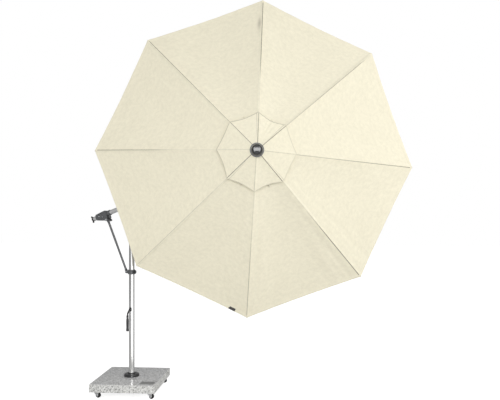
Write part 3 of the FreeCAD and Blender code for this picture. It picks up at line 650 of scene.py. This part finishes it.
def panel_folds(panel):
    """Folds of one panel: ridges beside its two ribs as (side, distance from the rib, width,
    size, centre and reach along the rib, phase), and waves over all of it as (rate along, rate
    across, phase, size)."""
    rng = np.random.RandomState(100 + panel)
    folds = []
    for side in (-1, 1):
        rib = panel if side < 0 else (panel + 1) % RIBS
        strength = FOLD_STRENGTH.get(rib, 0.8)
        for number in range(5):
            place = 0.022 + 0.042 * number + 0.014 * rng.rand()
            width = 0.010 + 0.011 * rng.rand() + 0.004 * number
            size = strength * (0.0034 - 0.00045 * number) * (0.55 + 0.6 * rng.rand())
            size *= rng.choice([-1, 1, 1])
            centre = 0.45 + 0.5 * rng.rand()
            reach = 0.28 + 0.3 * rng.rand()
            folds.append((side, place, width, size, centre, reach, rng.rand() * FULL_TURN))
    waves = []
    for _ in range(5):
        rates = (rng.uniform(2.0, 5.5), rng.uniform(1.0, 3.5))
        waves.append((*rates, rng.rand() * FULL_TURN, rng.uniform(0.0006, 0.0015)))
    return folds, waves


PANEL_FOLDS = [panel_folds(panel) for panel in range(RIBS)]


def panel_height(panel, ring, across, half_width):
    """Lift of the cloth off the flat panel, along the pole. ring is the corner radius of the line
    parallel to the hem, across the signed distance from the panel's middle line, half_width its
    reach to the ribs."""
    share = min(1.0, abs(across) / half_width)
    span = (ring - RING_INNER) / (HEM_RADIUS - RING_INNER)
    depth = 0.006 + 0.030 * math.sin(math.pi * min(1.0, max(0.0, 0.08 + 0.80 * span))) ** 1.2
    lift = -depth * (1 - share * share)
    folds, waves = PANEL_FOLDS[panel]
    hold = 1 - share ** 6
    for side, place, width, size, centre, reach, phase in folds:
        to_rib = half_width - side * across
        middle = place * (0.55 + 0.75 * span) + 0.006 * math.sin(9 * span + phase)
        near = math.exp(-(((to_rib - middle) / width) ** 2))
        along = math.exp(-(((span - centre) / reach) ** 2))
        lift += size * near * along * hold * (0.25 + 0.75 * min(1.0, span * 3))
    for along_rate, across_rate, phase, size in waves:
        swing = math.sin(along_rate * span * 3 + across_rate * across * 3 + phase)
        lift += size * swing * hold * 0.7
    ripple = 0.0016 * math.sin(across * 31 + panel * 1.7) * max(0.0, span - 0.86) / 0.14 * hold
    return lift + ripple


def gore_columns(reach):
    """Distances from the rib at which the mesh has lines: fine at the seam and at mid-panel."""
    fixed = [0.0, 0.0035, 0.0068, SEAM_HALF - 0.0008, SEAM_HALF + 0.0004]
    rest = reach - fixed[-1]
    count = 32
    spread = [fixed[-1] + rest * (step / count) for step in range(1, count)]
    return fixed + spread + [reach - 0.0040, reach - 0.0012, reach]


def main_rows():
    """Corner radii of the lines parallel to the hem; the last four make the hem band."""
    plain = [RING_INNER + (HEM_FROM - RING_INNER) * (i / 66) for i in range(67)]
    hem_middle = HEM_RADIUS - HEM_BAND * 0.5
    return plain + [HEM_FROM + 0.0012, hem_middle, HEM_RADIUS - 0.001, HEM_RADIUS]


def rise(value, low, high):
    """0 below low, 1 above high, smooth in between."""
    share = min(1.0, max(0.0, (value - low) / (high - low)))
    return share * share * (3 - 2 * share)


# for each rib: darkness of the painted shade beside the seam at the vent and at the tip, and where along the rib
# it changes
SEAM_SHADE_BY_RIB = [
    (0.50, 0.70, 0.1, 0.5),
    (0.16, 1.00, 0.30, 0.50),
    (0.60, 0.80, 0.1, 0.9),
    (0.14, 0.95, 0.35, 0.60),
    (0.18, 0.34, 0.0, 0.6),
    (0.12, 0.60, 0.1, 0.8),
    (0.06, 0.95, 0.30, 0.60),
    (0.40, 0.72, 0.2, 0.8),
]


def seam_fold_shade(rib, span):
    """How dark the painted shade in the fold beside the seam of a rib is, from the vent (0) to the tip (1)."""
    vent_end, tip_end, low, high = SEAM_SHADE_BY_RIB[rib]
    fade = 1 - 0.8 * rise(span, 0.86, 0.93) if rib == 0 else 1
    return fade * (vent_end + (tip_end - vent_end) * rise(span, low, high))


def rib_tip_shade(rib, span, offset):
    """Painted shade beside the second rib, near its tip."""
    if rib != 1:
        return 0.0
    off_along, off_across = (span - 0.80) / 0.050, (offset - 0.026) / 0.015
    return 0.55 * math.exp(-(off_along ** 2) - (off_across ** 2))


def build_gore(rib):
    """The main cloth of one rib, from the vent to the hem, out to the middle of both panels."""
    rows = main_rows()
    grid, places = [], []
    out, side_way = rib_way(rib)
    for ring in rows:
        reach = ring * math.sin(HALF) * math.cos(HALF)
        half_width = ring * math.sin(HALF)
        columns = gore_columns(reach)
        signed = [-c for c in reversed(columns[1:])] + columns
        points = []
        for offset in signed:
            size = abs(offset)
            side = 1 if offset >= 0 else -1
            across = -(half_width - size / math.cos(HALF)) * side
            lift = panel_height(panel_beside(rib, side), ring, across, half_width)
            height = -ring * SLOPE + lift
            share = 1 - min(1.0, abs(across) / half_width) ** 2
            hem_pull = 0.007 * share * max(0.0, (ring - 1.2) / 0.45) ** 2
            radial = ring - size * TAN - hem_pull * math.cos(HALF)
            if ring > HEM_FROM + 0.0005:
                height += 0.0004 if ring < HEM_RADIUS else -0.0002
            if SEAM_LAP[0] < offset < SEAM_LAP[1]:
                height += SEAM_LAP_RISE
            elif SEAM_GROOVE_TO < offset <= SEAM_LAP[0]:
                height -= SEAM_GROOVE_DEEP
            aside = offset - hem_pull * math.sin(HALF) * side
            up = Vector((0, 0, height + CLOTH_LIFT))
            points.append(CANOPY @ (out * radial + side_way * aside + up))
        grid.append(points)
        places.append(signed)
    hem_from = len(rows) - 4
    number = rib + 1
    spans = [(ring - RING_INNER) / (HEM_RADIUS - RING_INNER) for ring in rows]
    fold_shade_by_row = [seam_fold_shade(rib, span) for span in spans]
    obj = sheet_object(
        "canopy_gore_%d" % number,
        grid,
        lambda r: 1 if r >= hem_from else 0,
        lambda r, c: (places[r][c], rows[r] / math.cos(math.atan(SLOPE))),
        lambda r, c: (fold_shade_by_row[r], rib_tip_shade(rib, spans[r], places[r][c])),
        "rib_%d" % number,
    )
    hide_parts("gore_%d" % number)
    squash_to_rib(obj)


def squash_to_rib(obj):
    """Give the cloth its own copy of its mesh."""
    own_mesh(obj)


VENT_INNER = 0.058
VENT_OUTER = 0.384
VENT_TOP = 0.0015
VENT_RAISE = 0.013
VENT_FLAT_TO = 0.020
VENT_FALL = (VENT_TOP + VENT_OUTER * SLOPE - VENT_RAISE) / (VENT_OUTER - VENT_FLAT_TO)
# by panel: depth of the scallop, strength of the wrinkles, darkness of the painted shadow along the edge
VENT_DIP = [0.030, 0.017, 0.006, 0.017, 0.019, 0.025, 0.007, 0.006]
VENT_LIVELY = [2.1, 0.5, 0.4, 0.7, 0.5, 0.6, 0.4, 0.4]
VENT_EDGE_SHADE = [0.50, 0.50, 0.45, 0.38, 0.30, 0.30, 0.15, 0.25]
# by rib: darkness of the painted shade at the seam, and whether a second painted shaded fold runs beside it
VENT_SPOKE_SHADE = [0.85, 0.85, 0.75, 0.25, 0.85, 0.30, 0.85, 0.25]
VENT_TWIN = [1, 1, 0, 0, 1, 0, 1, 0]
VENT_HEM_FROM = 0.975


def vent_point(rib, ring_share, across_share, side):
    """A point of the vent cap: ring_share from the crown to the edge, across_share from rib to
    mid-panel on one side."""
    panel = panel_beside(rib, side)
    phases = np.random.RandomState(300 + panel).rand(4) * FULL_TURN
    lively = VENT_LIVELY[panel]
    position = across_share if side > 0 else 2 - across_share
    hold = math.sin(math.pi / 2 * across_share)
    edge_wave = 0.0011 * lively * math.sin(6.0 * position * 3.1416 + phases[0]) * hold
    outer = VENT_OUTER - VENT_DIP[panel] / math.cos(HALF) * hold ** 0.8 + edge_wave
    ring = VENT_INNER + (outer - VENT_INNER) * ring_share
    radial = ring / (1 + across_share * TAN * TAN)
    offset = across_share * radial * TAN
    height = VENT_TOP - (ring - VENT_FLAT_TO) * VENT_FALL
    height -= (0.0010 + 0.0020 * ring_share) * hold
    crease = math.sin(9.0 * position * 1.5708 + phases[1] + 1.5 * ring_share)
    height += 0.0009 * lively * crease * hold * ring_share ** 2.5
    flutter = math.sin(17 * position + 5 * ring_share + phases[2])
    height += 0.0007 * lively * flutter * hold * ring_share
    near_rib = math.exp(-(((across_share - 0.13) / 0.05) ** 2))
    height -= 0.0022 * near_rib * lively ** 0.5 * ring_share * (1.0 if side > 0 else 0.3)
    return radial, offset * side, height, ring


def vent_painted_shade(rib, share, side, across):
    """Painted shade of the vent cap: shade at the seams, a second shaded fold beside some seams,
    and a shadow along the edge, all painted."""
    panel = panel_beside(rib, side)
    # painted shadow along the vent's edge
    shade_here = VENT_EDGE_SHADE[panel] if share > VENT_HEM_FROM else 0.0
    # painted shade of a second fold beside the seam
    twin = VENT_TWIN[rib] * math.exp(-(((across - 0.105) / 0.022) ** 2)) * rise(share, 0.1, 0.4)
    if side > 0:
        shade_here = max(shade_here, 0.45 * twin)
    return VENT_SPOKE_SHADE[rib], shade_here


def build_vent_gore(rib):
    """The vent cap's cloth carried by one rib."""
    ring_steps = [i / 26 for i in range(26)] + [0.972, 0.978, 0.997, 1.0]
    fine = [0.0, 0.02, 0.04, 0.065, 0.07]
    across_steps = fine + [0.07 + 0.93 * i / 26 for i in range(1, 26)] + [0.98, 0.994, 1.0]
    signed = [(-1, a) for a in reversed(across_steps[1:])] + [(1, a) for a in across_steps]
    out, side_way = rib_way(rib)
    grid, places = [], []
    for share in ring_steps:
        points, row_places = [], []
        for side, across in signed:
            radial, offset, height, ring = vent_point(rib, share, across, side)
            if share > VENT_HEM_FROM:
                height += 0.0006
            if SEAM_LAP[0] < offset < SEAM_LAP[1]:
                height += SEAM_LAP_RISE
            points.append(CANOPY @ (out * radial + side_way * offset + Vector((0, 0, height))))
            row_places.append((offset, ring * 1.04))
        grid.append(points)
        places.append(row_places)
    number = rib + 1
    obj = sheet_object(
        "vent_gore_%d" % number,
        grid,
        lambda r: 1 if ring_steps[r] > 0.97 else 0,
        lambda r, c: places[r][c],
        lambda r, c: vent_painted_shade(rib, ring_steps[r], *signed[c]),
        "rib_%d" % number,
    )
    if rib == 0:
        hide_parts("vent_cap")
    squash_to_rib(obj)


for rib_index in range(RIBS):
    build_gore(rib_index)
for rib_index in range(RIBS):
    build_vent_gore(rib_index)


def build_crown_cover():
    """Cloth collar under the finial, which closes the top when the ribs are down."""
    verts, faces, uvs = [], [], []
    cover_radius = 0.091
    rings = [0.012, 0.03, 0.05, 0.07, 0.084, cover_radius]
    segments = 64
    for ring in rings:
        for step in range(segments):
            angle = 2 * math.pi * step / segments
            wave = 0.0012 * math.cos(angle * RIBS + math.pi) * ring / 0.09
            fall = max(0.0, ring - VENT_FLAT_TO) * VENT_FALL * 0.97
            height = VENT_TOP - 0.0042 - fall + wave
            verts.append(CANOPY @ round_point(ring, angle, height))
            uvs.append((ring * angle * 1.01 + 0.03, ring))
    for row in range(len(rings) - 1):
        inner, outer = row * segments, (row + 1) * segments
        for step in range(segments):
            after = (step + 1) % segments
            faces.append((inner + step, outer + step, outer + after, inner + after))
    obj = mesh_object("crown_cover", verts, faces, [CLOTH_PLAIN], None, uvs)
    thicken(obj, CLOTH_THICK, -1.0)
    settle(obj, "boom", "cloth")


build_crown_cover()


def build_finial():
    """Glossy dome with a grey rim ring and a sunk flat top."""
    rim = 0.067
    rim_corners = [
        (0.020, 0.0012, 0),
        (rim - 0.003, -0.0085, 0.0015),
        (rim, -0.0065, 0.0015),
        (rim, 0.0000, 0.0020),
        (rim - 0.005, 0.0045, 0.0015),
        (rim - 0.010, 0.0045, 0.0010),
        (rim - 0.011, 0.0020, 0),
        (0.020, 0.0020, 0),
    ]
    settle(lathe("finial_rim", rim_corners, CANOPY, RIM_GREY, 96), "boom", "gloss_black")
    dome = [
        (rim - 0.0105, 0.0010, 0),
        (rim - 0.0110, 0.0100, 0.004),
        (rim - 0.0180, 0.0260, 0.010),
        (rim - 0.0270, 0.0355, 0.008),
        (rim - 0.0320, 0.0395, 0.003),
        (rim - 0.0340, 0.0395, 0.001),
        (rim - 0.0350, 0.0370, 0.001),
        (0.0250, 0.0382, 0),
        (0.0180, 0.0390, 0),
        (0.0110, 0.0395, 0),
        (0.0050, 0.03975, 0),
        (0.0, 0.0398, 0),
    ]
    settle(lathe("finial_dome", dome, CANOPY, GLOSS_BLACK, 96), "boom", "gloss_black", "finial")


build_finial()


def build_rib_pocket(rib):
    """Reinforced pocket at the hem that the rib's tip slips into, on the underside."""
    number = rib + 1
    out, side_way = rib_way(rib)
    shut_end = 1.640
    rows = [1.545, 1.552, 1.575, 1.600, 1.625, shut_end]
    half_widths = [0.030, 0.030, 0.027, 0.024, 0.021, 0.017]
    verts, faces, uvs = [], [], []
    count = 20
    for ring, half_width in zip(rows, half_widths):
        for step in range(count + 1):
            t = step / count * 2 - 1
            across = t * half_width
            belly = -0.0215 * math.exp(-((t / 0.52) ** 4))
            shut = 0.35 if ring >= shut_end else 1.0
            radial = ring - abs(across) * TAN * 0.6
            height = -(radial + abs(across) * TAN) * SLOPE + CLOTH_LIFT - 0.0022 + belly * shut
            up = Vector((0, 0, height))
            verts.append(CANOPY @ (out * radial + side_way * across + up))
            uvs.append((across + 0.05, ring))
    for row in range(len(rows) - 1):
        for step in range(count):
            low = row * (count + 1) + step
            faces.append((low, low + 1, low + count + 2, low + count + 1))
    obj = mesh_object("rib_pocket_%d" % number, verts, faces, [CLOTH_HEM], None, uvs)
    thicken(obj, TAPE_THICK, 0.0)
    settle(obj, "rib_%d" % number, "cloth")


for rib_index in range(RIBS):
    build_rib_pocket(rib_index)


def build_tag():
    """Small blank dark tag sewn over the hem near one corner."""
    rib, side = 5, -1
    out, side_way = rib_way(rib)
    hem_way = (side_way * side * math.cos(HALF) - out * math.sin(HALF)).normalized()
    inward = -(out * math.cos(HALF) + side_way * side * math.sin(HALF))
    corner = out * HEM_RADIUS
    from_corner, from_edge = 0.145, 0.002
    tag_long, tag_deep = 0.072, 0.030
    verts, faces, uvs = [], [], []
    across, deep = 10, 5
    for j in range(deep + 1):
        for i in range(across + 1):
            u = from_corner + tag_long * i / across
            v = from_edge + tag_deep * j / deep
            local = corner + hem_way * u + inward * v
            ring = HEM_RADIUS - v / math.cos(HALF)
            half_width = ring * math.sin(HALF)
            share = u / half_width
            lift = panel_height(panel_beside(rib, side), ring, half_width - u, half_width)
            lift += 0.0026 + 0.0006 * math.sin(i * 1.3 + j)
            point = local + Vector((0, 0, -ring * SLOPE + lift))
            point += inward * 0.007 * (1 - (1 - share) ** 2)
            verts.append(CANOPY @ point)
            uvs.append((u + 0.05, v))
    for j in range(deep):
        for i in range(across):
            low = j * (across + 1) + i
            faces.append((low, low + across + 1, low + across + 2, low + 1))
    obj = mesh_object("hem_tag", verts, faces, [TAG_CLOTH], None, uvs)
    thicken(obj, TAPE_THICK, 0.0)
    settle(obj, "rib_6", "cloth")
    squash_to_rib(obj)


build_tag()


# ---- Hardware details ----
def turned_to(direction, origin):
    """A frame whose Z points along the direction."""
    quaternion = Vector(direction).to_track_quat("Z", "Y")
    return Matrix.Translation(Vector(origin)) @ quaternion.to_matrix().to_4x4()


def build_bolts():
    """Cap screws of the rear bracket, and bolt heads at the strut, the trunnion and the slider."""
    y_way = CARRIER.to_3x3() @ Vector((0, 1, 0))
    sides = ((-1, "front"), (1, "back"))
    for number, (x, z) in enumerate([(-0.405, -0.002), (-0.366, -0.020)]):
        for side, word in sides:
            place = turned_to(y_way * side, CARRIER @ Vector((x, side * 0.0290, z)))
            name = "bracket_bolt_%s_%d" % (word, number + 1)
            settle(socket_head(name, place, 0.0044, 0.0026, ZINC), "carrier", "zinc")
    for side, word in sides:
        strut_end = CARRIER @ Vector((-0.330, side * 0.0365, -0.0626))
        trunnion_end = CARRIER @ Vector((0, side * 0.0450, 0))
        slider_end = SLIDER @ Vector((-0.059, side * 0.0245, 0))
        for name, way, origin, across, high, body in (
            ("strut", y_way * side, strut_end, 0.015, 0.006, "carrier"),
            ("trunnion", y_way * side, trunnion_end, 0.016, 0.006, "carrier"),
            ("slider", (0, side, 0), slider_end, 0.012, 0.005, "slider"),
        ):
            head = hex_head("%s_bolt_%s" % (name, word), turned_to(way, origin), across, high, ZINC)
            settle(head, body, "zinc")


def build_collar_screw():
    """Clamp screw in the side of the mast's foot collar."""
    slab_turn, screw_from_slab = 14.6, 72.5
    heading = math.radians(slab_turn - screw_from_slab)
    way = Vector((math.cos(heading), math.sin(heading), 0))
    origin = way * 0.0790 + Vector((0, 0, SLAB_TOP + 0.009))
    settle(socket_head("collar_screw", turned_to(way, origin), 0.0052, 0.004, ZINC), "base", "zinc")


def build_grip():
    """Waisted handle with a flared lower end and shallow flutes."""
    low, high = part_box("crank_grip")
    centre = (low + high) / 2
    place = Matrix.Translation((centre.x, centre.y, low.z))
    corners = [
        (0.0053, 0.0000, 0),
        (0.0125, 0.0000, 0.002),
        (0.0145, 0.0030, 0.002),
        (0.0143, 0.0080, 0.003),
        (0.0128, 0.0180, 0.006),
        (0.0120, 0.0380, 0.008),
        (0.0127, 0.0700, 0.012),
        (0.0132, 0.1000, 0.010),
        (0.0125, 0.1190, 0.006),
        (0.0109, 0.1275, 0.003),
        (0.0090, 0.1315, 0.001),
        (0.0053, 0.1320, 0),
    ]
    sleeve = lathe("grip_sleeve", corners, place, NYLON_BLACK, 64, 10, 0.0006, 0.0110)
    settle(sleeve, "grip", "nylon_black", "crank_grip")


def build_tilt_knob():
    """Fluted lock knob under the boom's rear bracket."""
    place = CARRIER @ Matrix.Translation((-0.294, 0, 0))
    corners = [
        (0.0, -0.0900, 0),
        (0.0085, -0.0900, 0.001),
        (0.0120, -0.0880, 0.002),
        (0.0125, -0.0800, 0.003),
        (0.0112, -0.0720, 0.003),
        (0.0070, -0.0680, 0.002),
        (0.0056, -0.0600, 0.002),
        (0.0040, -0.0598, 0),
        (0.0040, -0.0220, 0),
        (0.0, -0.0218, 0),
    ]
    knob = lathe("lock_knob", corners, place, NYLON_BLACK, 72, 12, 0.0012, 0.0100)
    settle(knob, "tilt_knob", "nylon_black", "tilt_knob")


def build_crank_cap():
    """Bright centre screw on the crank's hub."""
    way = joint_axis("crank_turn")
    origin = joint_at("crank_turn") + way * 0.0618
    settle(socket_head("crank_screw", turned_to(way, origin), 0.0048, 0.003, ZINC), "crank", "zinc")


def build_handle_cap():
    """Bright screw in the rear end of the tilt handle."""
    way = -joint_axis("side_tilt")
    place = turned_to(way, BOOM @ Vector((-0.516, 0, 0)))
    settle(socket_head("handle_screw", place, 0.0062, 0.0035, ZINC), "boom", "zinc")


def build_pole_plug():
    """Plug in the free end of the canopy pole, with a flange and a domed face."""
    place = CANOPY @ Matrix.Translation((0, 0, -1.080)) @ Matrix.Rotation(math.pi, 4, "X")
    corners = [
        (0.0158, -0.020, 0),
        (0.0158, 0.0000, 0),
        (0.0188, 0.0000, 0.0008),
        (0.0188, 0.0030, 0.0015),
        (0.0120, 0.0060, 0.0040),
        (0.0, 0.0068, 0),
    ]
    settle(lathe("pole_plug", corners, place, NYLON_BLACK, 48), "boom", "nylon_black")


def build_foot_ring():
    """Bearing ring on top of the foot collar."""
    place = Matrix.Translation((0, 0, SLAB_TOP + 0.030))
    corners = [
        (0.0293, 0.0000, 0),
        (0.0375, 0.0000, 0.0010),
        (0.0375, 0.0035, 0.0015),
        (0.0330, 0.0050, 0.0010),
        (0.0293, 0.0050, 0),
    ]
    settle(lathe("foot_ring", corners, place, NYLON_BLACK, 72), "base", "nylon_black")


build_bolts()
build_collar_screw()
build_grip()
build_tilt_knob()
build_crank_cap()
build_handle_cap()
build_pole_plug()
build_foot_ring()

# ---- Floor, light and camera ----
FLOOR = 60.0
FLOOR_CORNERS = [(-FLOOR, -FLOOR, 0), (FLOOR, -FLOOR, 0), (FLOOR, FLOOR, 0), (-FLOOR, FLOOR, 0)]
floor_mesh = bpy.data.meshes.new("floor")
floor_mesh.from_pydata(FLOOR_CORNERS, [], [(0, 1, 2, 3)])
floor = bpy.data.objects.new("floor", floor_mesh)
bpy.context.scene.collection.objects.link(floor)
pale = Shader("floor_pale")
pale.colour(pale.ramp(pale.noise(0.6, 3, 0.5), [(0.3, 0.66), (0.7, 0.70)]))
pale.set(Roughness=0.9, Specular_IOR_Level=0.0, Emission_Color=(1, 1, 1, 1))
floor_mesh.materials.append(pale.material)
FLOOR_GLOW = 0.80
lit = pale.add("ShaderNodeLightPath").outputs["Is Camera Ray"]
pale.link(pale.math("MULTIPLY", lit, FLOOR_GLOW), pale.surface.inputs["Emission Strength"])

scene = bpy.context.scene
scene.view_settings.view_transform = "Standard"
world = bpy.data.worlds.new("studio")
scene.world = world
world.use_nodes = True
sky = world.node_tree
soft = sky.nodes["Background"]
soft.inputs["Color"].default_value = (1, 1, 1, 1)
backdrop = sky.nodes.new("ShaderNodeBackground")
backdrop.inputs["Strength"].default_value = 1.0
backdrop.inputs["Color"].default_value = (1, 1, 1, 1)
seen = sky.nodes.new("ShaderNodeLightPath")
choose = sky.nodes.new("ShaderNodeMixShader")
sky.links.new(seen.outputs["Is Camera Ray"], choose.inputs["Fac"])
sky.links.new(soft.outputs["Background"], choose.inputs[1])
sky.links.new(backdrop.outputs["Background"], choose.inputs[2])
sky.links.new(choose.outputs["Shader"], sky.nodes["World Output"].inputs["Surface"])

VIEW_HEADING = -0.3251
CAMERA_AT = Vector((2.8536, -4.5467, 1.6416))
LENS_MM = 35.77
SENSOR_MM = 36
FRAME_SHIFT = (-0.0017, 0.0663)
forward = Vector((math.sin(VIEW_HEADING), math.cos(VIEW_HEADING), 0))
right = Vector((forward.y, -forward.x, 0))


def area_light(name, direction, distance, aim, size, power, glossy=True, diffuse=True):
    """A soft light that shines on the aim from a direction given as right, up and back. It can be
    left out of reflections (glossy) or seen in them alone (diffuse)."""
    data = bpy.data.lights.new(name, "AREA")
    data.shape = "RECTANGLE"
    data.size, data.size_y = size
    data.energy = power
    obj = bpy.data.objects.new(name, data)
    scene.collection.objects.link(obj)
    to_right, to_up, to_back = direction
    way = (right * to_right + Vector((0, 0, to_up)) - forward * to_back).normalized()
    obj.location = Vector(aim) + way * distance
    obj.rotation_euler = (-way).to_track_quat("-Z", "Y").to_euler()
    obj.visible_glossy = glossy
    obj.visible_diffuse = diffuse


# the surroundings are brightest on the viewer's side
bright_way = (right * 0.20 - forward * 0.98).normalized()
toward = sky.nodes.new("ShaderNodeVectorMath")
toward.operation = "DOT_PRODUCT"
toward.inputs[1].default_value = bright_way
sky.links.new(sky.nodes.new("ShaderNodeTexCoord").outputs["Generated"], toward.inputs[0])
spread = sky.nodes.new("ShaderNodeMapRange")
for socket, value in (
    ("From Min", -0.15),
    ("From Max", 0.80),
    ("To Min", 0.36),
    ("To Max", 0.78),
):
    spread.inputs[socket].default_value = value
sky.links.new(toward.outputs["Value"], spread.inputs["Value"])
sky.links.new(spread.outputs["Result"], soft.inputs["Strength"])
area_light("key", (0.975, 0.16, 0.16), 7.0, APEX, (2.0, 2.0), 150, glossy=False)
area_light("softbox", (0.063, 0.163, 0.985), 6.0, APEX, (3.9, 1.95), 135)
area_light("fill", (-0.85, -0.22, 0.46), 7.0, APEX, (1.2, 1.2), 56, glossy=False)
area_light("card", (0.57, 0.0, 0.82), 1.25, (0, 0, 1.5), (1.9, 3.0), 23, diffuse=False)

camera_data = bpy.data.cameras.new("camera")
camera = bpy.data.objects.new("camera", camera_data)
scene.collection.objects.link(camera)
scene.camera = camera
camera.location = CAMERA_AT
camera.rotation_euler = (math.pi / 2, 0, -VIEW_HEADING)
camera_data.lens = LENS_MM
camera_data.sensor_width = SENSOR_MM
camera_data.shift_x, camera_data.shift_y = FRAME_SHIFT
camera_data.clip_end = 200
